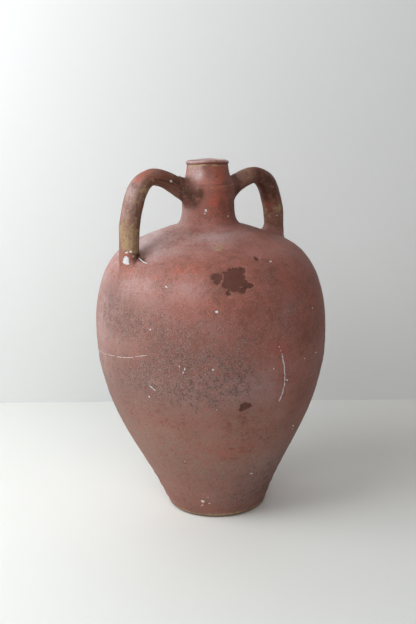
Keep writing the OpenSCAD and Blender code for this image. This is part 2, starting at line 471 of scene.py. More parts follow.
def body_fields(az, z):
    """Flakes and stains of the body, each stain from 0 to 1, the haze partly painted sheen and the
    soot partly painted shade. Some go all round at one height.
    """
    all_round = {
        "bloom_and_sheen": 0.85 * np.clip((z - 496.5) / 2.0, 0, 1),
        "tan": 0.10,
        # The thin line at 495 mm is painted shade in the crease under the lip's roll
        "soot_and_shade": 0.8 * np.exp(-((z - 495.0) / 0.9) ** 2),
        "ochre": 0.6 * np.exp(-((z - 493.0) / 1.5) ** 2) + 0.85 * np.exp(-((z - 5.0) / 2.4) ** 2),
    }
    fields = {"flake": patch(az, z, FLAKES)}
    for name, spots in BODY_STAINS.items():
        fields[name] = np.clip(glow(az, z, spots) + all_round.get(name, 0.0), 0, 1)
    return fields


def work_walls(bm):
    """Gives a turned piece the finished outside, the lean, the flakes and the small dents."""
    p = coordinates(bm)
    rho = np.hypot(p[:, 0], p[:, 1])
    az = turns_of(p[:, 0], p[:, 1])
    z = p[:, 2]
    outer = rho > radius_at(z) - OUTER_BAND
    slope = slope_at(z)
    size = np.sqrt(1 + slope ** 2)
    small = 0.26 * crumble(p, 0.034, 1.0, 2.1)
    small = small + 0.05 * np.array([noise.noise(Vector(q) * 0.21) for q in p])
    fields = body_fields(az, z)
    rough = crumble(p, 0.16, 0.8, 2.2)
    depth = sizes().flake_depth / MM * np.clip(fields["flake"] + 1.1 * rough + 0.6, 0, 1)
    depth = depth * (1.0 + 0.25 * rough) + glow(az, z, TEARS)
    chip = np.clip(patch(az, z, CHIPS) / 1.2, 0, 1) * 1.3
    lift = skin_lift(az, z) + small * np.clip(z / 5.0, 0.15, 1) - depth - chip
    lift = np.where(outer, lift, 0.0)
    a = np.radians(az)
    lean = lean_at(z)
    lip = np.clip((z - (LIP - 8)) / 10.0, 0, 1)
    wave = 1.6 * np.cos(2 * a + 4.26) + 0.8 + 0.4 * np.sin(3 * a + 0.4) + 0.3 * np.sin(6 * a + 2.0)
    r = rho + lift / size + lip * (0.35 * np.sin(2 * a + 0.5) + 0.18 * np.sin(5 * a))
    tilt = 2.4 * np.cos(a - math.radians(MOUTH_TIP)) + 0.8
    level = np.clip((z - RIDGE - 4) / 18.0, 0, 1) * tilt
    up = z - lift * slope / size + lip * 0.55 * wave + level
    put(bm, np.stack([r * np.cos(a) + lean[:, 0], r * np.sin(a) + lean[:, 1], up], -1))
    fields["flake"] = np.where(outer, fields["flake"], NO_FLAKE)
    return fields


def stretch(low, high, step):
    """Radii and heights between two heights, evenly spaced along the outside, not up it."""
    keep = OUTSIDE[(OUTSIDE[:, 1] > low) & (OUTSIDE[:, 1] < high)]
    line = np.vstack([[radius_at(low), low], keep, [radius_at(high), high]])
    run = np.concatenate([[0], np.cumsum(np.hypot(*np.diff(line, axis=0).T))])
    count = max(2, int(round(run[-1] / step)))
    places = np.linspace(0, run[-1], count + 1)
    return list(zip(*(np.interp(places, run, side).tolist() for side in line.T)))


def under_skin(points, depth):
    """The points moved square into the wall."""
    result = []
    for r, z in points:
        slope = float(slope_at(z))
        size = math.sqrt(1 + slope * slope)
        result.append((r - depth / size, z + depth * slope / size))
    return result


# ---------------------------------------------------------------- materials


def linear(value):
    """A scene-linear colour from an sRGB one."""
    return [c / 12.92 if c <= 0.04045 else ((c + 0.055) / 1.055) ** 2.4 for c in value] + [1.0]


# The nodes that the finishes are made of: kind, settings, inputs in order, and output
NODES = {
    "place": ("TexCoord", {}, (), "Object"),
    "scaled": ("Mapping", {}, ("Vector", "Scale"), 0),
    "noise": ("TexNoise", {}, ("Vector", "Scale", "Detail", "Roughness"), "Fac"),
    "tinted noise": ("TexNoise", {}, ("Vector", "Scale", "Detail", "Roughness"), "Color"),
    "cells": ("TexVoronoi", {"feature": "F1"}, ("Vector", "Scale", "Randomness"), "Distance"),
    "parted": ("SeparateColor", {}, (0,), None),
    "stain": ("Attribute", {"attribute_type": "GEOMETRY"}, (), "Fac"),
    "times": ("Math", {"operation": "MULTIPLY"}, (0, 1), 0),
    "plus": ("Math", {"operation": "ADD"}, (0, 1), 0),
    "less": ("Math", {"operation": "SUBTRACT"}, (0, 1), 0),
    "step": ("MapRange", {"interpolation_type": "SMOOTHSTEP"}, (0, 1, 2), 0),
    "blend": ("Mix", {"data_type": "RGBA", "clamp_factor": True}, (0, 6, 7), 2),
    "bump": ("Bump", {}, ("Strength", "Distance", "Height"), 0),
    "fired": ("BsdfPrincipled", {}, ("Base Color", "Roughness", "Normal", "Specular IOR Level"), 0),
    "back": ("NewGeometry", {}, (), "Backfacing"),
    "clear": ("BsdfTransparent", {}, (), 0),
    "either": ("MixShader", {}, (0, 1, 2), 0),
    "surface": ("OutputMaterial", {}, ("Surface",), None),
}


def add(tree, kind, *values, **settings):
    """Adds a node from the table with its settings, values and links, and gives its output."""
    name, fixed, inputs, output = NODES[kind]
    node = tree.nodes.new("ShaderNode" + name)
    for key, value in {**fixed, **settings}.items():
        setattr(node, key, value)
    for key, value in zip(inputs, values):
        if isinstance(value, bpy.types.NodeSocket):
            tree.links.new(value, node.inputs[key])
        else:
            node.inputs[key].default_value = value
    return node.outputs if output is None else node.outputs[output]


def shares(make, *parts):
    """Sum of some patterns, each with its share."""
    (pattern, share), *rest = parts
    first = make("times", pattern, share)
    return make("plus", first, shares(make, *rest)) if rest else first


def swing(make, pattern, reach):
    """A pattern's swing about its middle, made as wide as the reach."""
    return make("times", make("plus", pattern, -0.5), reach)


def coat(make, paint, amount, value):
    """The paint with one more colour laid over it, as thickly as the amount says."""
    return make("blend", amount, paint, linear(value))


def new_finish(name):
    """An empty finish, the maker of its nodes, and the place on the piece that it reads."""
    material = bpy.data.materials.new(name)
    material.use_nodes = True
    material.node_tree.nodes.clear()
    make = partial(add, material.node_tree)
    return material, make, make("place")


def clay(name, base, dark, streak, shine):
    """Low-fired red earthenware under a thin slip, worn by a century of use: the slip is matte and
    streaked by the brush as the wheel turned, its pores hold grey dirt, lime has hazed the parts
    that faced the rain, and flakes have come off down to the darker clay. The haze also carries
    painted sheen on the lit left side, and the soot colour paints shade in hollows, grooves and
    under the handles."""
    c = colours()
    material, make, place = new_finish(name)
    # Waves to the metre: clouds are 60 mm across, mottles 11, blotches 6, pores 3.3, grit 2.4 and
    # grains about 1.2, which is as fine as shows from two metres
    cloud = make("noise", place, 17.0, 3.0, 0.55)
    mottle = make("noise", place, 90.0, 4.0, 0.62)
    blotch = make("noise", place, 170.0, 5.0, 0.70)
    pores = make("cells", place, 300.0, 1.0)
    grit = make("noise", place, 420.0, 3.0, 0.7)
    grains = make("parted", make("tinted noise", place, 800.0, 2.0, 0.6))
    # Strokes of the brush, and runs of dirt and lime 5 mm wide and 24 mm long
    brush = make("noise", make("scaled", place, streak), 1.0, 4.0, 0.65)
    runs = make("noise", make("scaled", place, (190.0, 190.0, 42.0)), 1.0, 3.0, 0.6)
    wash = make("plus", mottle, swing(make, grit, 0.8))
    stain = {key: make("stain", attribute_name=key) for key in ("flake", *BODY_STAINS)}
    dirt, ochre, lime = stain["grime"], stain["ochre"], stain["lime"]

    # The slip, darker in clouds and along the brush's strokes
    tone = shares(make, (cloud, 0.35), (mottle, 0.35), (grit, 0.30))
    paint = make("blend", make("step", tone, 0.40, 0.56), linear(dark), linear(base))
    paint = coat(make, paint, make("times", make("step", brush, 0.46, 0.66), 0.30), dark)

    # Slip worn thin, and slip that has kept its colour
    patchy = shares(make, (tone, 0.45), (blotch, 0.55))
    worn = make("times", stain["tan"], make("step", patchy, 0.42, 0.54))
    paint = coat(make, paint, worn, c.tan)
    fresh = make("times", stain["fresh"], make("step", wash, 0.40, 0.56))
    paint = coat(make, paint, fresh, c.fresh)

    # Lime haze, partly painted sheen on the lit left side, and dirt in the pores
    haze = shares(make, (cloud, 0.40), (brush, 0.18), (runs, 0.20), (grit, 0.22))
    bloom_and_sheen = make("times", stain["bloom_and_sheen"], make("step", haze, 0.36, 0.60))
    thin = make("times", make("step", haze, 0.50, 0.64), 0.14)
    paint = coat(make, paint, make("plus", bloom_and_sheen, thin, use_clamp=True), c.bloom_and_sheen)
    crumbs = shares(make, (wash, 0.55), (runs, 0.20), (blotch, 0.25))
    film = make("plus", 0.24, make("times", make("step", crumbs, 0.42, 0.56), 0.70))
    paint = coat(make, paint, make("times", dirt, film, use_clamp=True), c.grime)

    # Specks: black, dark crust, rust, white and warm, thicker where there is dirt
    crowd = make("plus", make("times", dirt, 0.075), swing(make, mottle, 0.30))
    black = make("step", make("plus", grains[0], crowd), 0.585, 0.66)
    scab = make("plus", shares(make, (grit, 0.55), (blotch, 0.45)), crowd)
    crust = make("times", make("plus", 0.25, dirt, use_clamp=True), make("step", scab, 0.565, 0.62))
    rust = make("step", shares(make, (blotch, 0.6), (runs, 0.4)), 0.56, 0.63)
    white = make("step", make("plus", grains[1], crowd), 0.60, 0.68)
    warm = make("step", make("plus", grains[2], crowd), 0.59, 0.67)
    for speck, most, value in (
        (black, 0.45, c.soot_and_shade), (crust, 0.64, c.soot_and_shade), (rust, 0.42, c.fresh),
        (white, 0.34, c.bloom_and_sheen), (warm, 0.38, c.fresh),
    ):
        paint = coat(make, paint, make("times", speck, most), value)

    # Soot and painted shade, then ochre caked on in lumps
    soot_and_shade = make("times", stain["soot_and_shade"], make("step", wash, 0.18, 0.54), use_clamp=True)
    paint = coat(make, paint, make("times", soot_and_shade, 0.92), c.soot_and_shade)
    lump = make("plus", swing(make, mottle, 1.8), swing(make, blotch, 1.9))
    cake = make("step", make("plus", ochre, lump), 0.36, 0.66)
    cake = make("times", cake, make("step", ochre, 0.02, 0.25))
    sifted = make("step", shares(make, (mottle, 0.5), (grit, 0.5)), 0.40, 0.54)
    earth = make("blend", sifted, linear(c.tan), linear(c.ochre))
    paint = make("blend", make("times", cake, 0.78), paint, earth)

    # Pin holes, and spatters of limewash
    holes = make("less", 1.0, make("step", pores, 0.10, 0.24))
    deep = make("plus", mottle, make("times", dirt, 0.06))
    pit = make("times", holes, make("step", deep, 0.55, 0.62))
    paint = coat(make, paint, make("times", pit, 0.60), c.soot_and_shade)
    chalk = make("step", make("plus", lime, swing(make, wash, 1.4)), 0.40, 0.50)
    chalk = make("times", chalk, make("step", lime, 0.04, 0.30))
    paint = coat(make, paint, make("times", chalk, 0.82), c.lime)

    # Flakes with a ragged edge and a pale rim
    ragged = make("plus", stain["flake"], swing(make, mottle, 7.0))
    ragged = make("plus", ragged, swing(make, grit, 5.5))
    lost = make("step", ragged, -0.10, 0.30)
    rim = make("times", make("step", ragged, -0.9, -0.1), make("less", 1.0, lost))
    paint = coat(make, paint, make("times", rim, 0.05), c.bloom_and_sheen)
    bed = make("step", make("plus", wash, make("times", ochre, 0.25)), 0.50, 0.66)
    bare = make("blend", make("times", bed, 0.45), linear(c.bare), linear(c.soot_and_shade))
    paint = make("blend", lost, paint, bare)

    # Grit, strokes and dirt stand up, holes and flakes lie deep, and lime and ochre lie on top
    height = make("plus", shares(make, (grit, 0.40), (mottle, 0.35)), make("times", brush, 0.18))
    grainy = make("times", grains[0], make("plus", 0.06, make("times", dirt, 0.16)))
    height = make("less", make("plus", height, grainy), make("times", pit, 0.45))
    height = make("less", height, make("times", lost, 0.60))
    height = make("plus", height, shares(make, (cake, 0.35), (chalk, 0.45)))
    bump = make("bump", 0.6, 0.0009, height)
    gloss = make("plus", 0.50, make("times", mottle, 0.24))
    dull = make("plus", make("times", lost, 0.14), make("times", make("plus", soot_and_shade, cake), 0.24))
    gloss = make("plus", gloss, dull, use_clamp=True)
    make("surface", make("fired", paint, gloss, bump, shine))
    return material


def limewash(name):
    """Limewash drops, dried to chalk: nearly white and dead matte, with patches of the pinkish haze
    colour.
    """
    c = colours()
    material, make, place = new_finish(name)
    chalk = make("noise", place, 600.0, 3.0)
    paint = make("blend", make("step", chalk, 0.42, 0.70), linear(c.lime), linear(c.bloom_and_sheen))
    make("surface", make("fired", paint, 0.9, make("bump", 0.4, 0.0004, chalk)))
    return material


def painted(name, value, rough, one_sided):
    """Matte wall paint, rolled on: even, with a trace of the roller. A one-sided sheet is only
    there from its front, so that it hides nothing from behind."""
    material, make, place = new_finish(name)
    light = linear(value)
    dull = [v * 0.96 for v in light[:3]] + [1.0]
    surface = make("fired", make("blend", make("noise", place, 2.2, 3.0), dull, light), rough)
    if one_sided:
        surface = make("either", make("back"), surface, make("clear"))
    make("surface", surface)
    return material


def finish_of(slot):
    """The finish for a slot of the record, made once."""
    c = colours()
    name, base = {
        "red_slip": ("slipped_earthenware", c.slip),
        "handle_clay": ("pulled_earthenware", c.handle),
        "worn_foot": ("worn_earthenware", c.tan),
    }[slot]
    pulled, thrown = ((45.0, 45.0, 30.0), 0.26), ((7.0, 7.0, 170.0), 0.40)
    streak, shine = pulled if slot == "handle_clay" else thrown
    return bpy.data.materials.get(name) or clay(name, base, c.slip_dark, streak, shine)


# ---------------------------------------------------------------- the thrown pieces


def throw(name, node, outline, slot="red_slip", on_axis=False, steps=None):
    """Turns an outline, works its walls and stands it for its CAD node."""
    bm = turned(outline, on_axis, steps)
    fields = work_walls(bm)
    finish_piece(bm, name, finish_of(slot), [node], fields)


class AMPHORA_OT_foot(bpy.types.Operator):
    """The disc that closes the foot, with a worn and chipped edge"""

    bl_idname = "amphora.foot"
    bl_label = "Foot"

    def execute(self, context):
        outline = [(0.0, 1.4), (20.0, 1.3), (42.0, 1.0), (54.0, 0.4), (58.0, 0.05), (60.5, 0.0)]
        outline += stretch(0.02, DISC, 1.3)
        outline += [(60.0, DISC), (30.0, DISC), (0.0, DISC)]
        throw("foot_disc", "base_disc", outline, slot="worn_foot", on_axis=True)
        return {"FINISHED"}


class AMPHORA_OT_lower_body(bpy.types.Operator):
    """The lower thrown half, from the foot to the belly seam"""

    bl_idname = "amphora.lower_body"
    bl_label = "Lower body"

    def execute(self, context):
        wall = sizes().wall / MM
        outer = stretch(DISC, SEAM, 2.4)
        inner = under_skin(stretch(DISC + 8, SEAM + 6, 11.0), wall)
        floor = (float(radius_at(DISC)) - wall - 1.0, DISC)
        throw("lower_body", "lower_wall", outer + inner[::-1] + [floor])
        return {"FINISHED"}


class AMPHORA_OT_upper_body(bpy.types.Operator):
    """The upper thrown half, from the belly seam over the shoulder to the neck's seat"""

    bl_idname = "amphora.upper_body"
    bl_label = "Upper body"

    def execute(self, context):
        outer = stretch(SEAM, SHOULDER_EDGE, 2.2)
        seat = [(56.0, 405.6), (48.0, 407.4), (NECK_BORE, 408.4), (NECK_BORE, 400.6)]
        inner = under_skin(stretch(SEAM + 6, 402.0, 9.0), sizes().wall / MM)
        throw("upper_body", "upper_wall", outer + seat + inner[::-1])
        return {"FINISHED"}


class AMPHORA_OT_neck(bpy.types.Operator):
    """The fillet round the neck's root and the neck itself"""

    bl_idname = "amphora.neck"
    bl_label = "Neck"

    def execute(self, context):
        root = [(FILLET_BORE, FILLET_TOP), (FILLET_BORE, NECK_ROOT)]
        outer = stretch(SHOULDER_EDGE, FILLET_TOP, 1.7)
        throw("neck_fillet", "neck_luting", outer + root + [(52.0, 406.0)], steps=NECK_STEPS)
        outer = stretch(FILLET_TOP, RIDGE, 1.5)
        inner = [(NECK_BORE - 1.5, RIDGE), (NECK_BORE - 0.6, 450.0), (NECK_BORE, 430.0)]
        inner += [(NECK_BORE, NECK_ROOT)] + root[::-1]
        throw("neck_tube", "neck", outer + inner, steps=NECK_STEPS)
        return {"FINISHED"}


class AMPHORA_OT_mouth(bpy.types.Operator):
    """The tapered collar and the rounded lip"""

    bl_idname = "amphora.mouth"
    bl_label = "Mouth"

    def execute(self, context):
        bore = MOUTH_BORE
        inner = [(bore, LIP), (bore, 486.0), (bore + 0.2, RIDGE + 12), (bore + 2.4, RIDGE + 6)]
        inner += [(NECK - 9.5, RIDGE)]
        outer = stretch(RIDGE, LIP, 1.2)
        throw("mouth_collar_worked", "mouth_collar", outer + inner, steps=NECK_STEPS)
        inner = [(25.0, TOP), (23.8, TOP - 0.4), (22.9, TOP - 1.2), (bore, TOP - 2.6)]
        inner += [(bore, LIP + 3), (bore, LIP)]
        outer = stretch(LIP, TOP - 0.01, 0.8)
        throw("lip", "lip_ring", outer + inner, steps=NECK_STEPS)
        return {"FINISHED"}


# ---------------------------------------------------------------- the pulled handles

# Rings along a handle, facets round it, and facets round the clay at its ends. A handle's width
# is a little over its thickness.
HANDLE_RINGS, HANDLE_FACETS, SMEAR_FACETS = 190, 72, 96
OVAL = 1.04
# Middle line of each handle, from below the shoulder to in the neck: distance from the jar's axis
# and height
HANDLE_LINES = {
    "left": [
        (122, 350), (126.5, 374), (126, 397), (123, 433), (111.5, 468.5), (93, 484), (73, 482),
        (52, 471), (28, 456.5),
    ],
    "right": [
        (114, 352), (117.5, 376), (117, 399), (115.5, 423), (105, 457), (88, 471), (70.5, 471.5),
        (50, 464), (28, 452),
    ],
}
# Half-thickness in the handle's plane at each of those points
HANDLE_SPANS = {
    "left": [15.5, 14.2, 13.2, 14.0, 13.4, 11.4, 11.8, 12.8, 14.0],
    "right": [15.0, 13.8, 13.6, 14.4, 14.0, 11.5, 11.6, 12.4, 13.2],
}
# Grooves that the pulling hand left: angle round the handle, how far it wanders, and its depth
PULL_GROOVES = [
    (82, 0.07, 0.6), (97, 0.06, 0.8), (112, 0.08, 0.7), (131, 0.08, 0.6), (-20, 0.2, 0.3),
    (-100, 0.15, 0.6),
]
# Turn of each handle round the jar, in degrees
HANDLE_TURNS = {"left": 180.0, "right": 4.0}


def handle_path(side):
    """Places along a handle: distance, middle point, outward direction in its plane, direction
    across its plane, direction along it, and half-thickness."""
    line = curve_through(HANDLE_LINES[side], 40)
    spans = curve_through([(k, w) for k, w in enumerate(HANDLE_SPANS[side])], 40)[:, 1]
    run = np.concatenate([[0], np.cumsum(np.hypot(*np.diff(line, axis=0).T))])
    s = np.linspace(0, run[-1], HANDLE_RINGS)
    rho = np.interp(s, run, line[:, 0])
    z = np.interp(s, run, line[:, 1])
    span = np.interp(s, run, spans)
    turn = math.radians(HANDLE_TURNS[side])
    out = np.array([math.cos(turn), math.sin(turn), 0.0])
    up = np.array([0.0, 0.0, 1.0])
    middle = rho[:, None] * out + z[:, None] * up
    middle[:, :2] += lean_at(z)
    along = np.gradient(middle, axis=0)
    along /= np.linalg.norm(along, axis=1)[:, None]
    side_way = np.cross(up, out)
    normal = np.cross(side_way, along)
    normal /= np.linalg.norm(normal, axis=1)[:, None]
    return s, middle, normal, side_way, along, span


def tube(rings, segments):
    """An open tube of rings, made by extruding a circle, still to be shaped."""
    bm = bmesh.new()
    bmesh.ops.create_circle(bm, segments=segments, radius=1.0)
    edges = list(bm.edges)
    for _ in range(rings - 1):
        made = bmesh.ops.extrude_edge_only(bm, edges=edges)["geom"]
        verts = [g for g in made if isinstance(g, bmesh.types.BMVert)]
        ring = set(verts)
        edges = [g for g in made if isinstance(g, bmesh.types.BMEdge) and ring.issuperset(g.verts)]
        bmesh.ops.translate(bm, verts=verts, vec=(0, 0, 1))
    return bm


def ring_order(bm):
    """Index of each vertex's ring and its angle, read from an unshaped tube."""
    p = np.array([v.co[:] for v in bm.verts])
    return np.rint(p[:, 2]).astype(int), np.arctan2(p[:, 1], p[:, 0])


# Stains on the handles, with painted sheen and painted shade among them: a place in millimetres,
# how far it spreads, and how strong it is
HANDLE_STAINS = {
    "ochre": [
        (-142, -4, 430, 11, 0.5), (-139, -8, 416, 12, 0.85), (-136, -9, 404, 13, 0.9),
        (-130, -10, 398, 10, 0.7), (-128, -8, 440, 10, 0.35), (-118, -10, 462, 12, 0.45),
        (-106, -12, 473, 12, 0.6), (-90, -12, 472, 9, 0.45), (-62, -14, 470, 10, 0.4),
        (60, 0, 479, 12, 0.3), (110, -5, 421, 10, 0.35), (106, -12, 446, 12, 0.35),
        (115, -2, 436, 9, 0.28), (-132, 18, 410, 20, 0.8), (100, 14, 415, 16, 0.5),
        (-70, 6, 484, 16, 0.3), (-45, -10, 468, 8, 0.3),
    ],
    "fresh": [
        (-118, -2, 486, 5.5, 2.2), (-112, 2, 491, 6, 1.2), (-140, -7, 386, 9, 0.7),
        (-142, -6, 372, 10, 0.6), (84, 1, 480, 14, 0.6), (96, 3, 428, 8, 0.7),
        (-100, -2, 492, 14, 0.5), (-120, -8, 450, 12, 0.3), (-84, -8, 486, 13, 0.6),
        (80, 14, 486, 12, 0.6), (94, -4, 405, 9, 0.35),
    ],
    # The spots under the right handle's bend (x 88 to 96) and between the left handle's foot and
    # the shoulder (x -114 to -122) are painted shade
    "soot_and_shade": [
        (96, -3, 453, 13, 1.1), (93, 3, 442, 9, 1.0), (88, -2, 465, 11, 1.2),
        (-59, -8, 477, 13, 0.7), (-41, -8, 468, 13, 0.95), (-82, -8, 480, 14, 0.6),
        (35, -7, 460, 10, 0.5), (78, -3, 480, 11, 0.9), (-118, 4, 385, 8, 1.0),
        (-114, 2, 395, 8, 0.8), (-122, -7, 381, 4.5, 1.6), (-119, -2, 380, 6, 1.5),
        (104, 0, 397, 12, 0.35), (108, -2, 440, 10, 0.5), (-98, 0, 468, 12, 0.5),
    ],
    # The spots on the outer side of the left handle's bend (x -130 to -139) are painted sheen of
    # the window light
    "bloom_and_sheen": [
        (-133, 3, 462, 16, 0.55), (-139, -3, 447, 14, 0.75), (-122, 2, 480, 10, 0.4),
        (-130, 6, 470, 14, 0.4), (115, 0, 455, 10, 0.5), (-90, 6, 495, 12, 0.1),
    ],
    "grime": [
        (-125, -4, 478, 4.5, 1.4), (-135, -7, 447, 7, 1.0), (-133, -8, 425, 9, 0.2),
        (-126, -9, 440, 10, 0.5), (100, -3, 470, 14, 0.8), (70, -4, 476, 14, 0.3),
    ],
    "lime": [
        (-142, -6, 378.5, 3.6, 1.3), (-139, -8, 375, 2.4, 0.8), (-141, -6, 390, 2.2, 0.7),
        (-136, -9, 391, 2.0, 0.9), (-133, -10, 384, 2.2, 0.8), (-71, -9, 479, 1.8, 0.75),
        (108, -2, 412, 2.4, 0.7), (-140, -6, 383, 2.4, 0.6),
    ],
}


def handle_fields(p):
    """What has settled on the handles, and on the clay round their ends, by place, with painted
    sheen and painted shade among it.
    """
    fields = {"tan": np.full(len(p), 0.6), "flake": np.full(len(p), NO_FLAKE)}
    for name, spots in HANDLE_STAINS.items():
        total = np.zeros(len(p))
        for x, y, z, reach, strength in spots:
            total += strength * np.exp(-((p - (x, y, z)) ** 2).sum(1) / reach ** 2)
        fields[name] = np.clip(total, 0, 1)
    fields["grime"] = np.clip(fields["grime"] + 0.10, 0, 1)
    return fields


class AMPHORA_OT_handles(bpy.types.Operator):
    """Both pulled handles, oval bars with long pull marks"""

    bl_idname = "amphora.handles"
    bl_label = "Handles"

    def execute(self, context):
        for side in ("left", "right"):
            s, middle, normal, side_way, _along, span = handle_path(side)
            bm = tube(HANDLE_RINGS, HANDLE_FACETS)
            ends = [e for e in bm.edges if e.is_boundary]
            bmesh.ops.holes_fill(bm, edges=ends, sides=0)
            k, angle = ring_order(bm)
            run, thick = s[k], span[k]
            pull = 0.16 * np.sin(5 * angle + 0.02 * run)
            pull = pull + 0.10 * np.sin(9 * angle + 1.0 - 0.013 * run)
            groove = np.zeros(len(k))
            for at, wander, deep in PULL_GROOVES:
                gap = angle - math.radians(at) - wander * np.sin(run / 37.0 + at)
                off = np.angle(np.exp(1j * gap))
                fade = 0.55 + 0.45 * np.sin(run / 14.0 + at)
                groove += deep * np.exp(-(off / 0.085) ** 2) * fade
            pull = pull - groove
            wobble = 0.35 * np.sin(run / 21.0 + angle) + 0.25 * np.sin(run / 11.0 - 2 * angle + 1.7)
            around = np.cos(angle)[:, None] * normal[k] * (thick + pull + wobble)[:, None]
            across = np.sin(angle)[:, None] * side_way[None, :]
            around += across * (thick * OVAL + pull + wobble)[:, None]
            p = middle[k] + around
            dents = 0.30 * crumble(p, 0.07)
            p = p + around / np.linalg.norm(around, axis=1)[:, None] * dents[:, None]
            # The ends stop four millimetres under the wall's skin
            depth, away = from_skin(p)
            p = p + np.clip(-4.0 - depth, 0, None)[:, None] * away
            put(bm, p)
            bmesh.ops.recalc_face_normals(bm, faces=bm.faces)
            fields = handle_fields(p)
            # Painted shade: the pull grooves and the lower leg's side turned in towards the jar are
            # darkened with the soot colour
            leg_shade = np.clip((130.0 - run) / 50.0, 0, 1) * np.exp(-((angle - 2.1) / 0.55) ** 2)
            fields["soot_and_shade"] = np.clip(fields["soot_and_shade"] + 1.2 * groove + 0.30 * leg_shade, 0, 1)
            finish_piece(bm, "handle_" + side + "_pulled", finish_of("handle_clay"),
                         ["handle_" + side], fields)
        return {"FINISHED"}


SMEAR_RINGS = 26  # rings in view
SMEAR_HIDDEN = 3  # rings under the clay
# How far either way the wall is looked for, and how often that stretch is halved
SMEAR_SEARCH, SMEAR_HALVINGS = 45.0, 28


def smear_rings(side, end):
    """Points of the clay drawn out between a handle's end and the wall, by ring and by angle. The
    rings run from the handle out to the wall, and the last few close the clay underneath."""
    _s, middle, normal, side_way, along, span = handle_path(side)
    gap, _away = from_skin(middle)
    outside = np.nonzero(gap > 0)[0]
    k0 = outside[0] if end == "foot" else outside[-1]
    c, t = middle[k0], along[k0] * (1 if end == "foot" else -1)
    n, b, r = normal[k0], side_way, span[k0]
    angle = np.linspace(0, math.tau, SMEAR_FACETS, endpoint=False)
    ring = np.cos(angle)[:, None] * n * r + np.sin(angle)[:, None] * b * r * OVAL
    # Where each line along the handle's side meets the wall, found by halving
    low, high = np.full(SMEAR_FACETS, -SMEAR_SEARCH), np.full(SMEAR_FACETS, SMEAR_SEARCH)
    for _ in range(SMEAR_HALVINGS):
        mid = 0.5 * (low + high)
        d, _away = from_skin(c + ring + mid[:, None] * t)
        low, high = np.where(d > 0, low, mid), np.where(d > 0, mid, high)
    foot = c + ring + high[:, None] * t
    _d, n_wall = from_skin(foot)
    out = ring / np.linalg.norm(ring, axis=1)[:, None]
    flat = out - (out * n_wall).sum(1)[:, None] * n_wall
    flat /= np.linalg.norm(flat, axis=1)[:, None]
    reach = sizes().smear / MM * (1.0 if end == "foot" else 0.85)
    reach = reach * (1.0 + 0.16 * np.sin(2 * angle + 1.0) + 0.10 * np.sin(5 * angle + 2.0))
    if end == "neck":
        reach = reach * (1.0 + 0.35 * np.sin(angle if side == "left" else -angle))
    if (side, end) == ("left", "foot"):
        torn = np.clip((np.cos(angle - math.radians(168)) + 0.05) / 0.45, 0, 1)
        reach = reach * (1.0 - 0.86 * torn)
    rise = reach * (1.25 + 0.2 * np.sin(3 * angle))
    top = foot + rise[:, None] * t
    far = foot + reach[:, None] * flat
    error, n_far = from_skin(far)
    rings = []
    for u in np.linspace(0.0, 1.0, SMEAR_RINGS):
        p = (1 - u) ** 2 * top + 2 * u * (1 - u) * foot + u * u * far
        p = p - (u ** 2) * error[:, None] * n_far
        sunk = -0.45 * (abs(2 * u - 1) ** 6) + 0.22
        lean = (1 - u) * out + u * n_far
        lean /= np.linalg.norm(lean, axis=1)[:, None]
        rings.append(p + sunk * lean)
    rings.append(far - 2.0 * n_far - error[:, None] * n_far)
    rings.append(foot - 2.5 * n_wall - 2.5 * out)
    rings.append(top - 2.5 * out)
    return np.array(rings)


class AMPHORA_OT_luting(bpy.types.Operator):
    """The clay smeared round both ends of both handles"""

    bl_idname = "amphora.luting"
    bl_label = "Luting clay"

    def execute(self, context):
        for side in ("left", "right"):
            for end in ("foot", "neck"):
                rings = smear_rings(side, end)
                bm = tube(len(rings), SMEAR_FACETS)
                k, angle = ring_order(bm)
                ends = [e for e in bm.edges if e.is_boundary]
                bmesh.ops.bridge_loops(bm, edges=ends)
                j = np.rint(angle / math.tau * SMEAR_FACETS).astype(int) % SMEAR_FACETS
                p = rings[k, j]
                small = 0.12 * crumble(p, 0.09)
                p[:, 2] += np.where(k >= len(rings) - SMEAR_HIDDEN, 0.0, small)
                put(bm, p)
                bmesh.ops.recalc_face_normals(bm, faces=bm.faces)
                u = np.clip(k / (SMEAR_RINGS - 1), 0, 1)
                lean = lean_at(p[:, 2])
                az = turns_of(p[:, 0] - lean[:, 0], p[:, 1] - lean[:, 1])
                body = body_fields(az, p[:, 2])
                bar = handle_fields(p)
                # The clay at a handle's neck end is darkened all over
                if end == "neck":
                    bar["soot_and_shade"] = np.clip(bar["soot_and_shade"] + 0.75, 0, 1)
                blended = {name: u * body[name] + (1 - u) * bar[name] for name in bar}
                blended["lime"] = np.maximum(blended["lime"], bar["lime"])
                thin = np.minimum(blended["ochre"], 0.3)
                blended["ochre"] = np.where(u > 0.6, thin, blended["ochre"])
                name = "luting_" + end + "_" + side
                finish_piece(bm, name, finish_of("red_slip"),
                             [end + "_luting_" + side], blended)
        return {"FINISHED"}


# ---------------------------------------------------------------- limewash

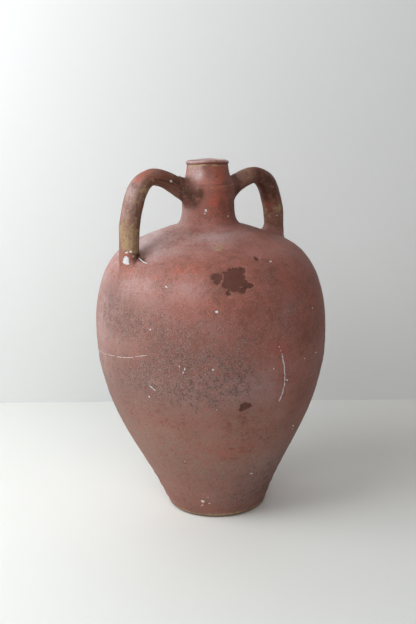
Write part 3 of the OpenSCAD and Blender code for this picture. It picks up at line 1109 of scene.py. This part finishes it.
# Drops: turn, height, half-width and half-height in millimetres, tilt in degrees
DROPS = [
    (-126.8, 437, 1.8, 2.0, 20), (-129.5, 433, 0.8, 0.9, 0), (-75.9, 427, 1.3, 1.3, 0),
    (-145.2, 354.4, 2.0, 1.0, -25), (-118.9, 325.6, 2.2, 2.0, 0), (-121.4, 249.8, 1.6, 1.6, 0),
    (-152.6, 219.6, 2.6, 0.7, -38), (-151.0, 216.4, 2.2, 0.8, -20), (-154.9, 204, 1.3, 1.2, 0),
    (-81.7, 377, 2.4, 1.5, 10), (-83.1, 222, 2.2, 1.2, -10), (-91.6, 243, 1.0, 1.3, 0),
    (-88.5, 271.5, 0.9, 0.9, 0), (-87.6, 266, 0.8, 1.2, 0), (-135.9, 29.4, 2.6, 2.4, 15),
    (-130.1, 38.2, 1.0, 0.9, 0), (-129.6, 27, 1.3, 0.9, 0), (-137.5, 22.5, 2.6, 0.6, 40),
    (-66.8, 140.2, 4.0, 0.8, -40), (-66.0, 134.5, 1.6, 0.6, -30), (-60.6, 246, 2.4, 0.8, -10),
    (-62, 309, 1.6, 0.9, 0), (-92, 74, 2.6, 1.1, -15), (-142.7, 102, 0.9, 0.8, 0),
    (-137.1, 253.4, 0.8, 1.8, 15), (-134.6, 250, 0.7, 2.2, -15), (-135.4, 245.2, 0.8, 1.2, 0),
    (-151.6, 299, 1.0, 1.0, 0), (-120, 191, 0.9, 0.8, 0), (-71.4, 245, 0.8, 1.0, 0),
    (30, 300, 2.4, 1.6, 10), (75, 220, 1.8, 1.6, 0), (120, 340, 2.8, 1.4, -20),
    (95, 90, 2.0, 1.3, 0), (150, 260, 1.6, 1.3, 0), (10, 60, 2.4, 1.4, 20),
]
# Scratches: points of a line, by turn and height, then its half-width and thickness in millimetres,
# and how much of it is left
SCRATCHES = [
    ([(-87.1, 261), (-85.6, 245), (-84.9, 230), (-84.7, 215), (-85.5, 201), (-86.6, 194)],
     0.8, 0.2, 0.93),
    ([(-198, 243), (-188, 246), (-180.4, 249.3), (-171, 252.5), (-164, 256), (-157, 261.5),
      (-150.6, 266)], 0.3, 0.2, 0.62),
    ([(-175, 380.8), (-171.5, 379.8), (-168, 378.5), (-164.5, 377.6)], 0.45, 0.8, 0.85),
]


def drop(bm, turn, height, half_w, half_h, tilt, seed, thick=0.35):
    """One flat ragged drop, laid on the finished outside."""
    made = bmesh.ops.create_icosphere(bm, subdivisions=2, radius=1.0)["verts"]
    c, s = math.cos(math.radians(tilt)), math.sin(math.radians(tilt))
    flat = []
    for v in made:
        grow = 1.0 + 0.65 * noise.noise(Vector((v.co.x * 1.9 + seed, v.co.y * 1.9, seed * 3.1)))
        x, y = v.co.x * half_w * grow, v.co.y * half_h * grow
        flat.append((c * x - s * y, s * x + c * y, v.co.z))
    flat = np.array(flat)
    r = float(radius_at(height))
    slope = float(slope_at(height))
    az = turn + np.degrees(flat[:, 0] / r)
    z = height + flat[:, 1] / math.sqrt(1 + slope * slope)
    for v, p in zip(made, skin(az, z, 0.05 + thick * flat[:, 2])):
        v.co = p * MM


class AMPHORA_OT_limewash(bpy.types.Operator):
    """Drops of limewash and chalky scratches on the body"""

    bl_idname = "amphora.limewash"
    bl_label = "Limewash"

    def execute(self, context):
        rng = random.Random(7)
        bm = bmesh.new()
        for k, (turn, height, w, h, tilt) in enumerate(DROPS):
            drop(bm, turn, height, w, h, tilt, 1.7 * k)
        for points, half, thick, kept in SCRATCHES:
            line = curve_through(points, 10)
            for step in range(len(line) - 1):
                turn, height = line[step]
                if rng.random() < kept:
                    way = line[step + 1] - line[max(step - 1, 0)]
                    dx = way[0] * float(radius_at(height)) * math.pi / 180
                    tilt = math.degrees(math.atan2(way[1], dx))
                    size = half * rng.uniform(0.6, 1.5)
                    drop(bm, turn + rng.uniform(-0.15, 0.15), height, rng.uniform(1.2, 2.6), size,
                         tilt, rng.random() * 50, thick)
        bmesh.ops.recalc_face_normals(bm, faces=bm.faces)
        finish_piece(bm, "limewash_marks", limewash("limewash_chalk"))
        return {"FINISHED"}


# ---------------------------------------------------------------- the stage


SHEET = 6.0  # half-width of the floor and of the backdrop
BACKDROP_GAP = 0.44  # from the jar's axis to the backdrop
# Lamps: name, place, what it is turned to, share of the window light's power, width and tint
LAMPS = [
    ("window", (-1.2, -0.6, 1.0), (0.0, 0.0, 0.25), 1.0, 1.0, (0.86, 0.97, 1.0)),
    ("sky_window", (-0.8, -0.9, 1.6), (-0.2, 0.3, 0.4), 0.56, 0.8, (0.96, 0.99, 1.0)),
    ("side_glow", (-0.9, -0.1, 0.85), (-0.2, 0.44, 0.55), 0.25, 0.6, (1.0, 1.0, 1.0)),
    ("room_front", (0.0, -2.0, 1.5), (0.0, 0.0, 0.3), 1.22, 1.5, (1.0, 0.99, 0.98)),
]


class AMPHORA_OT_stage(bpy.types.Operator):
    """Floor, backdrop, lights and camera"""

    bl_idname = "amphora.stage"
    bl_label = "Stage"

    def execute(self, context):
        scene = context.scene
        s = scene.amphora_stage
        c = colours()
        turn = Matrix.Rotation(s.view_turn, 4, "Z")

        bm = bmesh.new()
        bmesh.ops.create_grid(bm, x_segments=1, y_segments=1, size=SHEET)
        self.lay(bm, "floor", painted("floor_paint", c.floor, 0.55, False))
        bm = bmesh.new()
        bmesh.ops.create_grid(bm, x_segments=1, y_segments=1, size=SHEET)
        for degrees, axis in ((90, "X"), (-1.5, "Z")):
            upright = Matrix.Rotation(math.radians(degrees), 3, axis)
            bmesh.ops.rotate(bm, verts=bm.verts, cent=(0, 0, 0), matrix=upright)
        bmesh.ops.translate(bm, verts=bm.verts, vec=(0, BACKDROP_GAP, 0))
        bmesh.ops.transform(bm, matrix=turn, verts=bm.verts)
        self.lay(bm, "backdrop", painted("wall_paint", c.wall, 0.7, True))

        for name, place, target, share, size, tint in LAMPS:
            self.light(turn, name, place, target, s.key_power * share, size, tint)

        world = bpy.data.worlds.new("room")
        world.use_nodes = True
        sky = world.node_tree.nodes["Background"]
        sky.inputs[0].default_value = (0.95, 0.97, 1.0, 1.0)
        sky.inputs[1].default_value = s.sky
        scene.world = world
        scene.view_settings.view_transform = "Standard"

        lens = bpy.data.cameras.new("camera")
        lens.sensor_width = 36.0
        lens.lens = s.lens
        camera = bpy.data.objects.new("camera", lens)
        scene.collection.objects.link(camera)
        place = turn @ Vector((-0.0088, -s.distance, s.height))
        tilt = Matrix.Rotation(math.radians(90) - s.view_tilt, 4, "X")
        look = turn @ tilt @ Matrix.Rotation(s.view_roll, 4, "Z")
        camera.matrix_world = Matrix.Translation(place) @ look
        scene.camera = camera
        return {"FINISHED"}

    def lay(self, bm, name, material):
        """Makes a sheet of the room from a bmesh."""
        mesh = bpy.data.meshes.new(name)
        bm.to_mesh(mesh)
        bm.free()
        mesh.materials.append(material)
        thing = bpy.data.objects.new(name, mesh)
        bpy.context.scene.collection.objects.link(thing)

    def light(self, turn, name, place, target, power, size, tint):
        """Hangs a square soft lamp and turns it to its target."""
        data = bpy.data.lights.new(name, "AREA")
        data.shape = "RECTANGLE"
        data.size = data.size_y = size
        data.energy = power
        data.color = tint
        lamp = bpy.data.objects.new(name, data)
        bpy.context.scene.collection.objects.link(lamp)
        at = turn @ Vector(place)
        way = (turn @ Vector(target)) - at
        turned_to = way.to_track_quat("-Z", "Y").to_matrix().to_4x4()
        lamp.matrix_world = Matrix.Translation(at) @ turned_to


# ---------------------------------------------------------------- the add-on

STEPS = (
    AMPHORA_OT_stage, AMPHORA_OT_foot, AMPHORA_OT_lower_body, AMPHORA_OT_upper_body,
    AMPHORA_OT_neck, AMPHORA_OT_mouth, AMPHORA_OT_handles, AMPHORA_OT_luting,
    AMPHORA_OT_limewash,
)


class AMPHORA_PT_panel(bpy.types.Panel):
    """Lists the sizes, the colours and the pieces"""

    bl_label = "Amphora"
    bl_idname = "AMPHORA_PT_panel"
    bl_space_type = "VIEW_3D"
    bl_region_type = "UI"
    bl_category = "Amphora"

    def draw(self, context):
        for group in ("amphora_sizes", "amphora_colours", "amphora_stage"):
            box = self.layout.box()
            values = getattr(context.scene, group)
            for name in values.bl_rna.properties.keys():
                if name not in ("rna_type", "name"):
                    box.prop(values, name)
        for step in STEPS:
            self.layout.operator(step.bl_idname)


CLASSES = (AmphoraSizes, AmphoraColours, AmphoraStage) + STEPS + (AMPHORA_PT_panel,)


def register():
    """Makes the panel, its values and the operators known."""
    for cls in CLASSES:
        bpy.utils.register_class(cls)
    bpy.types.Scene.amphora_sizes = bpy.props.PointerProperty(type=AmphoraSizes)
    bpy.types.Scene.amphora_colours = bpy.props.PointerProperty(type=AmphoraColours)
    bpy.types.Scene.amphora_stage = bpy.props.PointerProperty(type=AmphoraStage)


def unregister():
    """Takes them away again."""
    del bpy.types.Scene.amphora_stage
    del bpy.types.Scene.amphora_colours
    del bpy.types.Scene.amphora_sizes
    for cls in reversed(CLASSES):
        bpy.utils.unregister_class(cls)


def main():
    """Makes every piece in order."""
    register()
    for step in STEPS:
        group, name = step.bl_idname.split(".")
        getattr(getattr(bpy.ops, group), name)()


if __name__ == "__main__":
    main()
